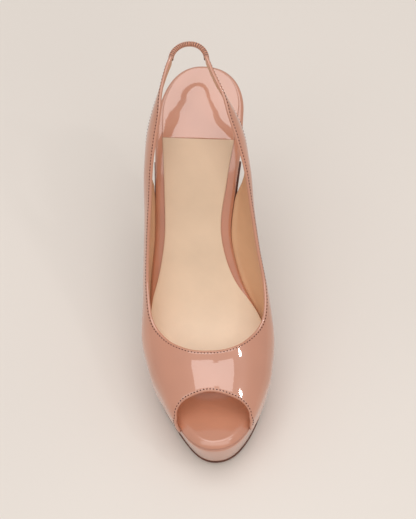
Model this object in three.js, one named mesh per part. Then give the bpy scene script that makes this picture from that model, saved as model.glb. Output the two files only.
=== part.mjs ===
// Platform pump with a peep toe and a sling back, the wearer's right shoe.
// Millimetres, +Z up. The toe points to -Y, the heel to +Y and the inner side of the foot to +X.
// The origin lies on the floor under the ball of the foot.
import * as THREE from 'three';

// Sizes of the last
const LENGTH = 214;
const BALL_WIDTH = 75.8;
const SEAT_WIDTH = 54;
const SEAT_RISE = 104;
const TOE_SPRING = 4.4;
const TOE_SWING = 5.5;
const INSTEP = 52;
const WIDEST = 14;
const SWELL = 4;
const TOE_ROUND = 48;
const HEEL_ROUND = 29;

// Thicknesses of the layers, and the clearance between pieces that touch
const OUTSOLE = 2;
const PLATFORM = 25;
const INSOLE = 4.4;
const SOCK = 1;
const WALL = 1.8;
const CLEAR = 0.3;

// Sizes of the sole's sides
const PLATFORM_RIM = 0.2;
const TOE_UNDERCUT = 4.8;
const SIDE_UNDERCUT = 2.4;
const SOLE_WELT = 0.3;
const WAIST_WELT = 0.8;
const EDGE_ROUND = 1.6;
const RAND = 6;
const SOCK_END = 36;
const PAD_LENGTH = 46.2;
const PAD_SLANT = 2.7;

// Sizes of the topline, the peep and the sling
const TOPLINE = 33.4;
const THROAT_CURVE = 10;
const PEEP_DEPTH = 28.8;
const STRAP_HEIGHT = 9;
const SLING_SPAN = 22;
const LOOP_REACH = 12.4;
const ELASTIC = 3;

// Sizes of the heel
const BREAST = 54.2;
const SEAT_MARGIN = 0.8;
const TIP_WIDTH = 11;
const TIP_LENGTH = 12;
const TIP_BACK = 22.2;
const TOP_PIECE = 6;

// Places along the shoe, as shares of the last's length from the toe
const BALL_AT = 0.355;
const SPRING_AT = 0.178;
const UNDERCUT_END = 0.21;
const TREAD_END = 0.385;
const WEDGE_END = 0.617;
const PLATFORM_END = 0.589;
const THROAT_AT = 0.2465;
const STRAP_END = 0.9;
const SEAT_END = 1.01;
const SIDES = {
  outer: { sign: -1, leave: 0.703, corner: 0.058 },
  inner: { sign: 1, leave: 0.682, corner: 0.065 },
};

// Exponents of the rounded ends and of the upper's section
const TOE_FALL = 1.66;
const TOE_FULLNESS = 2.12;
const HEEL_FALL = 2.12;
const HEEL_FULLNESS = 2.2;
const SQUARENESS = 2.1;
const LOWER_FULLNESS = 2.2;
const WALL_BOW = 1.3;
const TIP_ROUND = 2.6;

const placeAlong = (share) => (share - BALL_AT) * LENGTH;
const TOE = placeAlong(0);
const HEEL = placeAlong(SEAT_END);
const mix = (a, b, t) => a + (b - a) * t;
const clamp01 = (t) => Math.min(1, Math.max(0, t));

// A smooth curve through a table's rows: each key's slope is that of the parabola through it.
function curve(keys, values) {
  const last = keys.length - 1;
  const steps = keys.slice(1).map((key, i) => key - keys[i]);
  const rates = steps.map((step, i) => (values[i + 1] - values[i]) / step);
  const slopes = keys.map((key, i) => {
    if (i === 0) return rates[0];
    if (i === last) return rates[last - 1];
    return (rates[i - 1] * steps[i] + rates[i] * steps[i - 1]) / (steps[i - 1] + steps[i]);
  });
  return (at) => {
    const t = Math.min(keys[last], Math.max(keys[0], at));
    let i = 0;
    while (i < last - 1 && t >= keys[i + 1]) i += 1;
    const h = steps[i];
    const a = (t - keys[i]) / h;
    const b = 1 - a;
    return values[i] * (1 + 2 * a) * b * b + slopes[i] * h * a * b * b
      + values[i + 1] * a * a * (3 - 2 * a) - slopes[i + 1] * h * a * a * b;
  };
}

// The last, a row for each section. Spring, rise, swing, crown and the levels of greatest width
// are shares of the sizes they are named for. Heelward says how far a section's width follows
// the seat instead of the ball, and span how far the upper follows the sling instead of the sole.
const LAST = [
  ['along', 'spring', 'rise', 'swing', 'heelward', 'outer', 'inner', 'swellOuter', 'swellInner',
    'crown', 'levelOuter', 'levelInner', 'spanOuter', 'spanInner'],
  [0.00, 1.00, 0.000, 1.00, 0.00, 0.389, 0.424, 0.35, 0.00, 0.135, 0.21, 0.21, 0, 0],
  [0.07, 0.50, 0.000, 0.85, 0.00, 0.377, 0.419, 0.30, 0.00, 0.277, 0.29, 0.29, 0, 0],
  [0.14, 0.16, 0.000, 0.65, 0.00, 0.397, 0.434, 0.10, 0.08, 0.416, 0.43, 0.43, 0, 0],
  [0.24, 0.00, 0.000, 0.34, 0.00, 0.459, 0.473, 0.15, 0.45, 0.571, 0.57, 0.57, 0, 0],
  [0.33, 0.00, 0.007, 0.30, 0.00, 0.500, 0.501, 0.50, 0.35, 0.731, 0.64, 0.79, 0, 0],
  [0.42, 0.00, 0.071, 0.17, 0.10, 0.507, 0.453, 0.33, 1.00, 1.006, 0.86, 1.29, 0, 0],
  [0.51, 0.00, 0.220, -0.235, 0.40, 0.500, 0.356, 0.43, 2.70, 1.070, 1.00, 1.64, 0, 0],
  [0.60, 0.00, 0.441, -0.555, 0.75, 0.476, 0.327, 0.92, 3.35, 0.967, 1.00, 1.64, 0, 0],
  [0.69, 0.00, 0.672, -0.81, 1.00, 0.477, 0.450, 1.00, 1.86, 0.890, 1.00, 1.43, 0, 0],
  [0.78, 0.00, 0.828, -0.92, 1.00, 0.459, 0.531, 0.25, -0.38, 0.930, 1.00, 1.14, 0, 0],
  [0.87, 0.00, 0.905, -0.81, 1.00, 0.440, 0.547, 0, 0, 1.317, 1.00, 1.00, 0.885, 0.643],
  [0.94, 0.00, 0.958, -0.535, 1.00, 0.425, 0.538, 0, 0, 1.580, 1.00, 1.00, 0.615, 0.243],
  [1.01, 0.00, 1.007, -0.25, 1.00, 0.423, 0.544, 0, 0, 3.280, 1.00, 1.00, 0.680, 0.230],
];

// Heights of the side topline over the insole, as shares of TOPLINE
const TOPLINE_ROWS = [
  ['along', 'height'],
  [0.36, 0.866],
  [0.44, 0.940],
  [0.53, 1.000],
  [0.62, 1.000],
  [0.67, 1.030],
  [0.72, 1.085],
  [0.77, 1.165],
  [0.82, 1.265],
  [0.86, 1.345],
  [0.90, 1.388],
];

// Throat: girth runs from 0 on the crown to 1 at the widest level and 2 at the sole, back is a
// share of THROAT_CURVE
const THROAT_ROWS = [
  ['girth', 'back'],
  [0.00, 0.00],
  [0.23, 0.25],
  [0.43, 1.00],
];

// Edge of the peep from the middle (0) to a corner (1): its distance back from the toe is a share
// of PEEP_DEPTH, or at the corner the side's own place
const PEEP_ROWS = [
  ['run', 'girth', 'depth'],
  [0.00, 0.00, 1.00],
  [0.27, 0.24, 0.93],
  [0.48, 0.46, 0.82],
  [0.65, 0.66, 0.67],
  [0.79, 0.86, 0.53],
  [0.90, 1.30, 0.48],
  [1.00, 2.00, 0.00],
];

// Lower edge of a strap, from where it leaves the sole (0) to its end (1), as the share of the
// way from the sole up to the height it has at its end
const STRAP_ROWS = [
  ['run', 'lift'],
  [0.00, 0.00],
  [0.17, 0.45],
  [0.43, 0.70],
  [1.00, 1.00],
];

// Width of the insole's wrapped border that the sock leaves bare, as shares of RAND
const RAND_ROWS = [
  ['along', 'share'],
  [0.15, 0.06],
  [0.33, 0.05],
  [0.425, 0.12],
  [0.46, 0.28],
  [0.52, 0.80],
  [0.58, 1.00],
  [0.68, 0.93],
  [0.78, 0.79],
  [0.87, 0.50],
  [1.00, 0.38],
];

// Shaft of the heel from the seat (0) to the tip (1): shares of the way from the seat's width,
// front and back to the tip's
const SHAFT_ROWS = [
  ['down', 'narrow', 'front', 'back', 'level'],
  [0.00, 0.00, 0.00, 0.00, 0.00],
  [0.07, 0.16, 0.20, 0.10, 0.15],
  [0.16, 0.45, 0.52, 0.28, 0.40],
  [0.28, 0.74, 0.80, 0.50, 0.75],
  [0.45, 0.90, 0.95, 0.75, 1.00],
  [0.70, 0.98, 1.00, 0.93, 1.00],
  [1.00, 1.00, 1.00, 1.00, 1.00],
];

// Ribs of the upper from a strap's end to the middle of the vamp: rib counts the mesh lines, top
// and base are places along the topline and along the sole's edge
const RIB_ROWS = [
  ['rib', 'top', 'base'],
  [0, 0.90, 0.90],
  [2, 0.86, 0.86],
  [4, 0.82, 0.82],
  [6, 0.77, 0.778],
  [8, 0.72, 0.735],
  [10, 0.67, 0.683],
  [12, 0.62, 0.63],
  [16, 0.53, 0.53],
  [20, 0.44, 0.43],
  [24, 0.36, 0.32],
];
const THROAT_RIBS = [29, 35, 42];
const BASE_RIB = 27;
const BASE_PLACE = 0.18;
const CORNER_RIB = 32;
const HALF_RIBS = 42;
const BAND_CELLS = 10;

const rowsOf = ([names, ...rows]) => rows.map(
  (row) => Object.fromEntries(names.map((name, i) => [name, row[i]])),
);
const last = rowsOf(LAST);
const lastKeys = last.map((row) => placeAlong(row.along));
const lastCurve = (valueOf) => curve(lastKeys, last.map(valueOf));
const tableCurve = (table, key, value) => {
  const rows = rowsOf(table);
  return curve(rows.map(key), rows.map(value));
};

// Heights of the insole's top, its middle line and its half widths
const ballBed = OUTSOLE + CLEAR + PLATFORM + CLEAR + INSOLE;
const bed = lastCurve((row) => ballBed + row.spring * TOE_SPRING + row.rise * SEAT_RISE);
const middle = lastCurve((row) => row.swing * TOE_SWING);
const soleWidth = (row) => mix(BALL_WIDTH, SEAT_WIDTH, row.heelward);
const bodyWidth = {
  outer: lastCurve((row) => row.outer * soleWidth(row)),
  inner: lastCurve((row) => row.inner * soleWidth(row)),
};

const toeRound = (y) => {
  const front = clamp01((TOE + TOE_ROUND - y) / TOE_ROUND);
  return (1 - front ** TOE_FALL) ** (1 / TOE_FULLNESS);
};
const heelRound = (y) => {
  const back = clamp01((y - HEEL + HEEL_ROUND) / HEEL_ROUND);
  return (1 - back ** HEEL_FALL) ** (1 / HEEL_FULLNESS);
};
const insoleHalf = (side, y) => bodyWidth[side](y) * toeRound(y) * heelRound(y);
const openHalf = (side, y) => bodyWidth[side](y) * toeRound(y);

const slopeOf = (line, y) => (line(y + 0.5) - line(y - 0.5));
const stretchOf = (line, y) => Math.hypot(1, slopeOf(line, y));
const bedDown = (y, depth) => bed(y) - depth * stretchOf(bed, y);

// How far the upper's section stands out past its foot, which hugs the insole's edge. The rows
// that have a span belong to the sling, which leans in over the seat.
const feather = CLEAR + WALL;
const standsOut = (swell, span, half) => (row) => (row[span] > 0
  ? row[span] * SLING_SPAN - row[half] * soleWidth(row) - feather
  : row[swell] * SWELL);
const swell = {
  outer: lastCurve(standsOut('swellOuter', 'spanOuter', 'outer')),
  inner: lastCurve(standsOut('swellInner', 'spanInner', 'inner')),
};
const crown = lastCurve((row) => row.crown * INSTEP);
const level = {
  outer: lastCurve((row) => row.levelOuter * WIDEST),
  inner: lastCurve((row) => row.levelInner * WIDEST),
};

function sectionOf(side, y) {
  const half = (at) => openHalf(side, at);
  const foot = half(y) + feather * stretchOf(half, y);
  return {
    foot,
    wide: foot + swell[side](y) * toeRound(y),
    base: -INSOLE * stretchOf(bed, y),
    level: level[side](y),
    crown: crown(y),
  };
}

// Point of the upper's outside. Girth is 0 on the crown, 1 at the widest level and 2 at the sole,
// and negative on the outer side of the foot.
function outside(y, girth) {
  const side = girth < 0 ? 'outer' : 'inner';
  const s = sectionOf(side, y);
  const climb = Math.min(2, Math.max(0, 2 - Math.abs(girth)));
  let x = s.foot + (s.wide - s.foot) * (1 - (1 - Math.min(1, climb)) ** LOWER_FULLNESS);
  let z = mix(s.base, s.level, Math.min(1, climb));
  if (climb > 1) {
    const turn = (climb - 1) * Math.PI / 2;
    x = s.wide * Math.max(0, Math.cos(turn)) ** (2 / SQUARENESS);
    z = mix(s.level, s.crown, Math.sin(turn) ** (2 / SQUARENESS));
  }
  return new THREE.Vector3(middle(y) + SIDES[side].sign * x, y, bed(y) + z);
}

function girthAt(side, y, height) {
  const s = sectionOf(side, y);
  if (height > s.level) {
    const rise = clamp01((height - s.level) / (s.crown - s.level));
    return SIDES[side].sign * (1 - Math.asin(rise ** (SQUARENESS / 2)) / (Math.PI / 2));
  }
  return SIDES[side].sign * (2 - clamp01((height - s.base) / (s.level - s.base)));
}

// Point inside the upper's wall, depth below its outside
function inWall(y, girth, depth) {
  const alongY = outside(y + 0.4, girth).sub(outside(y - 0.4, girth));
  const round = outside(y, Math.min(2, girth + 0.02)).sub(outside(y, Math.max(-2, girth - 0.02)));
  const inward = alongY.cross(round).normalize();
  return outside(y, girth).addScaledVector(inward, depth);
}

const toplineHeight = tableCurve(TOPLINE_ROWS, (r) => placeAlong(r.along), (r) => r.height * TOPLINE);
const strapLift = tableCurve(STRAP_ROWS, (r) => r.run, (r) => r.lift);

function strapEdge(side, y) {
  const leave = placeAlong(SIDES[side].leave);
  const run = clamp01((y - leave) / (placeAlong(STRAP_END) - leave));
  const { base } = sectionOf(side, y);
  return mix(base, toplineHeight(y) - STRAP_HEIGHT, strapLift(run));
}

// Both edges of the upper, rib by rib, from the outer strap over the vamp to the inner strap
const ribRows = rowsOf(RIB_ROWS);
const throatRows = rowsOf(THROAT_ROWS).reverse();
const bothSides = (rows, centre) => [
  ...rows.map((row) => ({ ...row, side: 'outer', rib: row.rib })),
  centre,
  ...rows.slice().reverse().map((row) => ({ ...row, side: 'inner', rib: 2 * HALF_RIBS - row.rib })),
];
const throatPlace = (row) => placeAlong(THROAT_AT) + row.back * THROAT_CURVE;
const topKnots = bothSides(
  [
    ...ribRows.map((row) => ({ rib: row.rib, y: placeAlong(row.top) })),
    ...throatRows.slice(0, -1).map((row, i) => (
      { rib: THROAT_RIBS[i], y: throatPlace(row), girth: row.girth }
    )),
  ],
  { rib: HALF_RIBS, y: placeAlong(THROAT_AT), girth: 0, side: 'inner' },
);
const topGirth = (knot) => (knot.girth === undefined
  ? girthAt(knot.side, knot.y, toplineHeight(knot.y))
  : SIDES[knot.side].sign * knot.girth);
const topRibs = topKnots.map((knot) => knot.rib);
const topPlaceAt = curve(topRibs, topKnots.map((knot) => knot.y));
const topGirthAt = curve(topRibs, topKnots.map(topGirth));

// Both halves of the peep's edge, from the outer corner over the vamp to the inner corner
const peepRows = rowsOf(PEEP_ROWS);
const peepHalf = (side) => peepRows.map((row) => ({
  way: (1 + SIDES[side].sign * row.run) / 2,
  girth: SIDES[side].sign * row.girth,
  y: row.depth > 0 ? TOE + row.depth * PEEP_DEPTH : placeAlong(SIDES[side].corner),
}));
const peepEdge = [...peepHalf('outer').reverse(), ...peepHalf('inner').slice(1)];
const peepWays = peepEdge.map((row) => row.way);
const peepPlaceAt = curve(peepWays, peepEdge.map((row) => row.y));
const peepGirthAt = curve(peepWays, peepEdge.map((row) => row.girth));

const baseRibs = [...ribRows.map((row) => row.rib), BASE_RIB, CORNER_RIB];
const baseCurve = (side) => curve(
  baseRibs,
  [...ribRows.map((row) => row.base), BASE_PLACE, SIDES[side].corner].map(placeAlong),
);
const basePlaceAt = { outer: baseCurve('outer'), inner: baseCurve('inner') };

function bottomAt(rib) {
  const side = rib < HALF_RIBS ? 'outer' : 'inner';
  const { sign, leave } = SIDES[side];
  const count = Math.min(rib, 2 * HALF_RIBS - rib);
  if (count >= CORNER_RIB) {
    const way = (rib - CORNER_RIB) / (2 * (HALF_RIBS - CORNER_RIB));
    return { y: peepPlaceAt(way), girth: peepGirthAt(way) };
  }
  const y = basePlaceAt[side](count);
  return { y, girth: y > placeAlong(leave) ? girthAt(side, y, strapEdge(side, y)) : sign * 2 };
}

// A box whose grid is moved to where place(u, v, w) says, each of them from 0 to 1
function moulded(cells, place) {
  const geometry = new THREE.BoxGeometry(1, 1, 1, ...cells);
  const at = geometry.attributes.position;
  for (let i = 0; i < at.count; i += 1) {
    const p = place(at.getX(i) + 0.5, at.getY(i) + 0.5, at.getZ(i) + 0.5);
    at.setXYZ(i, p.x, p.y, p.z);
  }
  geometry.computeVertexNormals();
  return geometry;
}

function upper() {
  return moulded([2 * HALF_RIBS, BAND_CELLS, 1], (u, v, w) => {
    const rib = u * 2 * HALF_RIBS;
    const low = bottomAt(rib);
    const y = mix(low.y, topPlaceAt(rib), v);
    const girth = mix(low.girth, topGirthAt(rib), v);
    return inWall(y, girth, (1 - w) * WALL);
  });
}

// Places along a layer, closer together towards the rounded ends
function spaced(u, from, to) {
  const even = mix(from, to, u);
  const eased = mix(from, to, (1 - Math.cos(u * Math.PI)) / 2);
  return mix(even, eased, 0.75);
}

// Plan of the sole's layers: the insole's edge moved outwards by offset
function plan(side, y, offset) {
  const half = (at) => insoleHalf(side, at);
  const step = 0.05;
  const slope = (half(y + step) - half(y - step)) / (2 * step);
  const long = Math.hypot(1, slope);
  return {
    x: middle(y) + SIDES[side].sign * Math.max(0, half(y) + offset / long),
    y: y - offset * slope / long,
  };
}

// A layer of the sole. Rows give each level's height at a place and its offset from the plan, and
// from and to are the places where each side begins and ends.
const straight = (y) => ({ outer: y, inner: y });
function layer(from, to, cells, levels) {
  return moulded([cells, 1, levels.length - 1], (u, v, w) => {
    const row = levels[Math.round((1 - w) * (levels.length - 1))];
    const side = v > 0.5 ? 'outer' : 'inner';
    const y = spaced(u, from[side], to[side]);
    const p = plan(side, y, row.offset(y));
    return new THREE.Vector3(p.x, p.y, row.height(p.y));
  });
}

const NOSE = 0.12;
const edgeRound = (depth) => -EDGE_ROUND + Math.sqrt(EDGE_ROUND ** 2 - (EDGE_ROUND - depth) ** 2);

function insole() {
  const rounded = [0, 0.15, 0.5, 1].map((share) => ({
    height: (y) => bedDown(y, share * EDGE_ROUND),
    offset: () => edgeRound(share * EDGE_ROUND),
  }));
  const foot = { height: (y) => bedDown(y, INSOLE), offset: () => 0 };
  return layer(straight(TOE + NOSE), straight(HEEL - NOSE), 44, [...rounded, foot]);
}

// Underside of what carries the insole, and top of the outsole
const underInsole = (y) => bedDown(y, INSOLE + CLEAR);
function soleTop(y) {
  const spring = TOE_SPRING * clamp01((placeAlong(SPRING_AT) - y) / (placeAlong(SPRING_AT) - TOE)) ** 2;
  const run = clamp01((y - placeAlong(TREAD_END)) / (placeAlong(WEDGE_END) - placeAlong(TREAD_END)));
  const waist = run * run * (3 - 2 * run);
  return mix(OUTSOLE + spring, underInsole(y), waist);
}
const aboveSole = (y) => soleTop(y) + CLEAR * stretchOf(soleTop, y);
const belowSole = (y) => soleTop(y) - OUTSOLE * stretchOf(soleTop, y);

const outsoleOffset = curve(
  [0, UNDERCUT_END, TREAD_END, WEDGE_END].map(placeAlong),
  [SOLE_WELT - TOE_UNDERCUT, SOLE_WELT - SIDE_UNDERCUT, SOLE_WELT - SIDE_UNDERCUT, WAIST_WELT],
);

function platform() {
  const levels = [0, 0.5, 1].map((share) => ({
    height: (y) => mix(underInsole(y), aboveSole(y), share),
    offset: (y) => mix(PLATFORM_RIM, outsoleOffset(y) - SOLE_WELT, share ** WALL_BOW),
  }));
  return layer(straight(TOE + NOSE), straight(placeAlong(PLATFORM_END)), 36, levels);
}

const breastPlace = HEEL - BREAST;

function outsole() {
  return layer(straight(TOE + NOSE), straight(breastPlace - CLEAR), 44, [
    { height: soleTop, offset: outsoleOffset },
    { height: belowSole, offset: outsoleOffset },
  ]);
}

const randCurve = tableCurve(RAND_ROWS, (r) => placeAlong(r.along), (r) => r.share * RAND);
function cover(from, to, cells) {
  return layer(from, to, cells, [
    { height: (y) => bedDown(y, -CLEAR - SOCK), offset: (y) => -randCurve(y) },
    { height: (y) => bedDown(y, -CLEAR), offset: (y) => -randCurve(y) },
  ]);
}
const padBorder = { outer: HEEL - PAD_LENGTH + PAD_SLANT / 2, inner: HEEL - PAD_LENGTH - PAD_SLANT / 2 };
const sockBack = { outer: padBorder.outer - CLEAR, inner: padBorder.inner - CLEAR };
const sock = () => cover(straight(-SOCK_END), sockBack, 24);
const heelPad = () => cover(padBorder, straight(HEEL - NOSE), 20);

// Plan of the heel: run goes from the breast (0) to the back (1), across from one side to the other
const tipFront = HEEL - TIP_BACK - TIP_LENGTH;
const tipBack = HEEL - TIP_BACK;
function tipPlan(run, across) {
  const half = TIP_WIDTH / 2 * Math.sqrt(Math.max(0, 1 - run ** TIP_ROUND));
  return new THREE.Vector2(middle(tipBack) + (1 - 2 * across) * half, mix(tipFront, tipBack, run));
}

function seatPlan(run, across) {
  const y = mix(breastPlace, HEEL - NOSE, run);
  const outer = plan('outer', y, -SEAT_MARGIN);
  const inner = plan('inner', y, -SEAT_MARGIN);
  return new THREE.Vector2(mix(inner.x, outer.x, across), mix(inner.y, outer.y, across));
}

const shaft = (name) => tableCurve(SHAFT_ROWS, (r) => r.down, (r) => r[name]);
const shaftNarrow = shaft('narrow');
const shaftFront = shaft('front');
const shaftBack = shaft('back');
const shaftLevel = shaft('level');

function heel() {
  const foot = TOP_PIECE + CLEAR;
  return moulded([14, 4, 18], (u, v, w) => {
    const run = Math.sin(u * Math.PI / 2);
    const down = (1 - w) ** 1.3;
    const seat = seatPlan(run, v);
    const tip = tipPlan(run, v);
    const middleSeat = (breastPlace + HEEL) / 2;
    const seatHeight = mix(underInsole(seat.y), underInsole(middleSeat), shaftLevel(down));
    return new THREE.Vector3(
      mix(seat.x, tip.x, shaftNarrow(down)),
      mix(seat.y, tip.y, mix(shaftFront(down), shaftBack(down), run)),
      mix(seatHeight, foot, down),
    );
  });
}

function topPiece() {
  return moulded([10, 1, 1], (u, v, w) => {
    const tip = tipPlan(Math.sin(u * Math.PI / 2), v);
    return new THREE.Vector3(tip.x, tip.y, w * TOP_PIECE);
  });
}

// The gathered elastic runs from strap end to strap end round the back of the foot
function strapEnd(side) {
  const y = placeAlong(STRAP_END);
  const high = girthAt(side, y, toplineHeight(y) - STRAP_HEIGHT / 2);
  return inWall(y, high, WALL / 2);
}

function slingElastic() {
  const outer = strapEnd('outer');
  const inner = strapEnd('inner');
  const centre = outer.clone().add(inner).multiplyScalar(0.5);
  const across = inner.clone().sub(outer).multiplyScalar(0.5);
  const back = new THREE.Vector3(0, LOOP_REACH, 0);
  const points = [];
  const turns = 10;
  for (let i = 0; i <= turns; i += 1) {
    const angle = Math.PI * i / turns;
    points.push(centre.clone()
      .addScaledVector(across, -Math.cos(angle))
      .addScaledVector(back, Math.sin(angle))
      .add(new THREE.Vector3(0, CLEAR, 0)));
  }
  const path = new THREE.CatmullRomCurve3(points);
  const ring = new THREE.Shape();
  ring.absarc(0, 0, ELASTIC / 2, 0, 2 * Math.PI);
  return new THREE.ExtrudeGeometry(ring, { steps: 28, curveSegments: 8, extrudePath: path });
}

const finish = (color, roughness) => new THREE.MeshStandardMaterial({ color, roughness, metalness: 0 });
const patent = () => finish(0xc98a70, 0.12);
const lining = () => finish(0xd9b48f, 0.55);
const pieces = [
  ['outsole', outsole, finish(0x7a4a35, 0.5)],
  ['platform', platform, patent()],
  ['insole', insole, patent()],
  ['sock', sock, lining()],
  ['heel_pad', heelPad, patent()],
  ['heel', heel, patent()],
  ['top_piece', topPiece, finish(0x4a3a33, 0.6)],
  ['upper', upper, patent()],
  ['sling_elastic', slingElastic, finish(0xb97a62, 0.35)],
];

const shoe = new THREE.Group();
for (const [name, make, material] of pieces) {
  const mesh = new THREE.Mesh(make(), material);
  mesh.name = name;
  shoe.add(mesh);
}

export default shoe;
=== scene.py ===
import math
import random

import bmesh
import bpy
import numpy as np
from bpy.props import FloatProperty, FloatVectorProperty, PointerProperty
from mathutils import Matrix, Vector


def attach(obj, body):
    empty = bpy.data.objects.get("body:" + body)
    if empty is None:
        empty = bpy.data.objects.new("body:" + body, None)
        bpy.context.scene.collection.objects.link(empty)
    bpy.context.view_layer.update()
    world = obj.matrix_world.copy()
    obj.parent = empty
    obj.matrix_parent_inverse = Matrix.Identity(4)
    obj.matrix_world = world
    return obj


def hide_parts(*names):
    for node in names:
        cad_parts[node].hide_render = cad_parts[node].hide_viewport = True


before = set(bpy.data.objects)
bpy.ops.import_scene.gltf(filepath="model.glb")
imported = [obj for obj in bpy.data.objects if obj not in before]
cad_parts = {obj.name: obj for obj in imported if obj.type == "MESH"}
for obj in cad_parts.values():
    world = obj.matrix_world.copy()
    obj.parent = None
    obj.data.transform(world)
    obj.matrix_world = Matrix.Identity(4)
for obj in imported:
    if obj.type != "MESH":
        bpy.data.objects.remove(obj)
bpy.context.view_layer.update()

bl_info = {
    "name": "Platform Slingback",
    "version": (1, 0, 0),
    "blender": (4, 5, 0),
    "location": "View3D > Sidebar > Shoe",
    "description": "Builds a peep-toe platform slingback around its packed solids",
    "category": "Object",
}

BODY = "root"
MM = 0.001


# Tables of the last and of what is drawn on it, the same shares as the solids have. Each tuple is a
# column, and a table with a column called along runs from the toe to the heel.
LAST = {
    "along": (0.00, 0.07, 0.14, 0.24, 0.33, 0.42, 0.51, 0.60, 0.69, 0.78, 0.87, 0.94, 1.01),
    "spring": (1.00, 0.50, 0.16, 0.00, 0.00, 0.00, 0.00, 0.00, 0.00, 0.00, 0.00, 0.00, 0.00),
    "rise": (0.00, 0.00, 0.00, 0.00, 0.007, 0.071, 0.220, 0.441, 0.672, 0.828, 0.905, 0.958, 1.007),
    "swing": (1.00, 0.85, 0.65, 0.34, 0.30, 0.17, -0.235, -0.555, -0.81, -0.92, -0.81, -0.535, -0.25),
    "heelward": (0.00, 0.00, 0.00, 0.00, 0.00, 0.10, 0.40, 0.75, 1.00, 1.00, 1.00, 1.00, 1.00),
    "outer": (0.389, 0.377, 0.397, 0.459, 0.500, 0.507, 0.500, 0.476, 0.477, 0.459, 0.440, 0.425, 0.423),
    "inner": (0.424, 0.419, 0.434, 0.473, 0.501, 0.453, 0.356, 0.327, 0.450, 0.531, 0.547, 0.538, 0.544),
    "swell_outer": (0.35, 0.30, 0.10, 0.15, 0.50, 0.33, 0.43, 0.92, 1.00, 0.25, 0.00, 0.00, 0.00),
    "swell_inner": (0.00, 0.00, 0.08, 0.45, 0.35, 1.00, 2.70, 3.35, 1.86, -0.38, 0.00, 0.00, 0.00),
    "crown": (0.135, 0.277, 0.416, 0.571, 0.731, 1.006, 1.070, 0.967, 0.890, 0.930, 1.317, 1.580, 3.280),
    "level_outer": (0.21, 0.29, 0.43, 0.57, 0.64, 0.86, 1.00, 1.00, 1.00, 1.00, 1.00, 1.00, 1.00),
    "level_inner": (0.21, 0.29, 0.43, 0.57, 0.79, 1.29, 1.64, 1.64, 1.43, 1.14, 1.00, 1.00, 1.00),
    "span_outer": (0.00, 0.00, 0.00, 0.00, 0.00, 0.00, 0.00, 0.00, 0.00, 0.00, 0.885, 0.615, 0.680),
    "span_inner": (0.00, 0.00, 0.00, 0.00, 0.00, 0.00, 0.00, 0.00, 0.00, 0.00, 0.643, 0.243, 0.230),
}
TOPLINE = {
    "along": (0.36, 0.44, 0.53, 0.62, 0.67, 0.72, 0.77, 0.82, 0.86, 0.90),
    "height": (0.866, 0.940, 1.000, 1.000, 1.030, 1.085, 1.165, 1.265, 1.345, 1.388),
}
THROAT = {"girth": (0.43, 0.23, 0.00), "back": (1.00, 0.25, 0.00), "rib": (29, 35, 42)}
PEEP = {
    "run": (0.00, 0.27, 0.48, 0.65, 0.79, 0.90, 1.00),
    "girth": (0.00, 0.24, 0.46, 0.66, 0.86, 1.30, 2.00),
    "depth": (1.00, 0.93, 0.82, 0.67, 0.53, 0.48, 0.00),
}
STRAP = {"run": (0.00, 0.17, 0.43, 1.00), "lift": (0.00, 0.45, 0.70, 1.00)}
RAND = {
    "along": (0.15, 0.33, 0.425, 0.46, 0.52, 0.58, 0.68, 0.78, 0.87, 1.00),
    "share": (0.06, 0.05, 0.12, 0.28, 0.80, 1.00, 0.93, 0.79, 0.50, 0.38),
}
SHAFT = {
    "down": (0.00, 0.07, 0.16, 0.28, 0.45, 0.70, 1.00),
    "narrow": (0.00, 0.16, 0.45, 0.74, 0.90, 0.98, 1.00),
    "front": (0.00, 0.20, 0.52, 0.80, 0.95, 1.00, 1.00),
    "back": (0.00, 0.10, 0.28, 0.50, 0.75, 0.93, 1.00),
    "level": (0.00, 0.15, 0.40, 0.75, 1.00, 1.00, 1.00),
}
RIBS = {
    "rib": (0, 2, 4, 6, 8, 10, 12, 16, 20, 24),
    "top": (0.90, 0.86, 0.82, 0.77, 0.72, 0.67, 0.62, 0.53, 0.44, 0.36),
    "base": (0.90, 0.86, 0.82, 0.778, 0.735, 0.683, 0.63, 0.53, 0.43, 0.32),
}
BASE_RIB, BASE_PLACE, CORNER_RIB, HALF_RIBS = 27, 0.18, 32, 42
# Ribs, counted from a strap's end, where the seams start, the strap's lower seam ends, the lasted
# edge starts and the throat's lip starts to rise
SEAM_RIB, SEWN_RIB, LASTED_RIB, LIP_RIB = 0.3, 7, 9.3, 24
SIDES = {
    "outer": {"sign": -1.0, "leave": 0.703, "corner": 0.058},
    "inner": {"sign": 1.0, "leave": 0.682, "corner": 0.065},
}
BALL_AT, SPRING_AT, UNDERCUT_END, TREAD_END = 0.355, 0.178, 0.21, 0.385
WEDGE_END, PLATFORM_END, THROAT_AT, STRAP_END, SEAT_END = 0.617, 0.589, 0.2465, 0.90, 1.01
TOE_FALL, TOE_FULLNESS, HEEL_FALL, HEEL_FULLNESS = 1.66, 2.12, 2.12, 2.2
SQUARENESS, LOWER_FULLNESS, WALL_BOW, TIP_ROUND = 2.1, 2.2, 1.3, 2.6
GATHERS = 26
# The insole's rounded edge: its profile, its size at the toe and behind the peep, and the run
# from one to the other
ROLL = {"out": (0.00, 0.25, 0.60, 0.85, 1.00), "down": (0.00, 0.09, 0.44, 0.76, 1.00)}
ROLL_WIDTH, ROLL_DEPTH, ROLL_RUN = (4.8 * MM, 1.8 * MM), (3.4 * MM, 1.6 * MM), 50 * MM


def size(name, description, default):
    return FloatProperty(name=name, description=description, default=default, unit="LENGTH", precision=4)


def colour(name, description, default):
    return FloatVectorProperty(
        name=name, description=description, default=default, subtype="COLOR", min=0.0, max=1.0)


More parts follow.
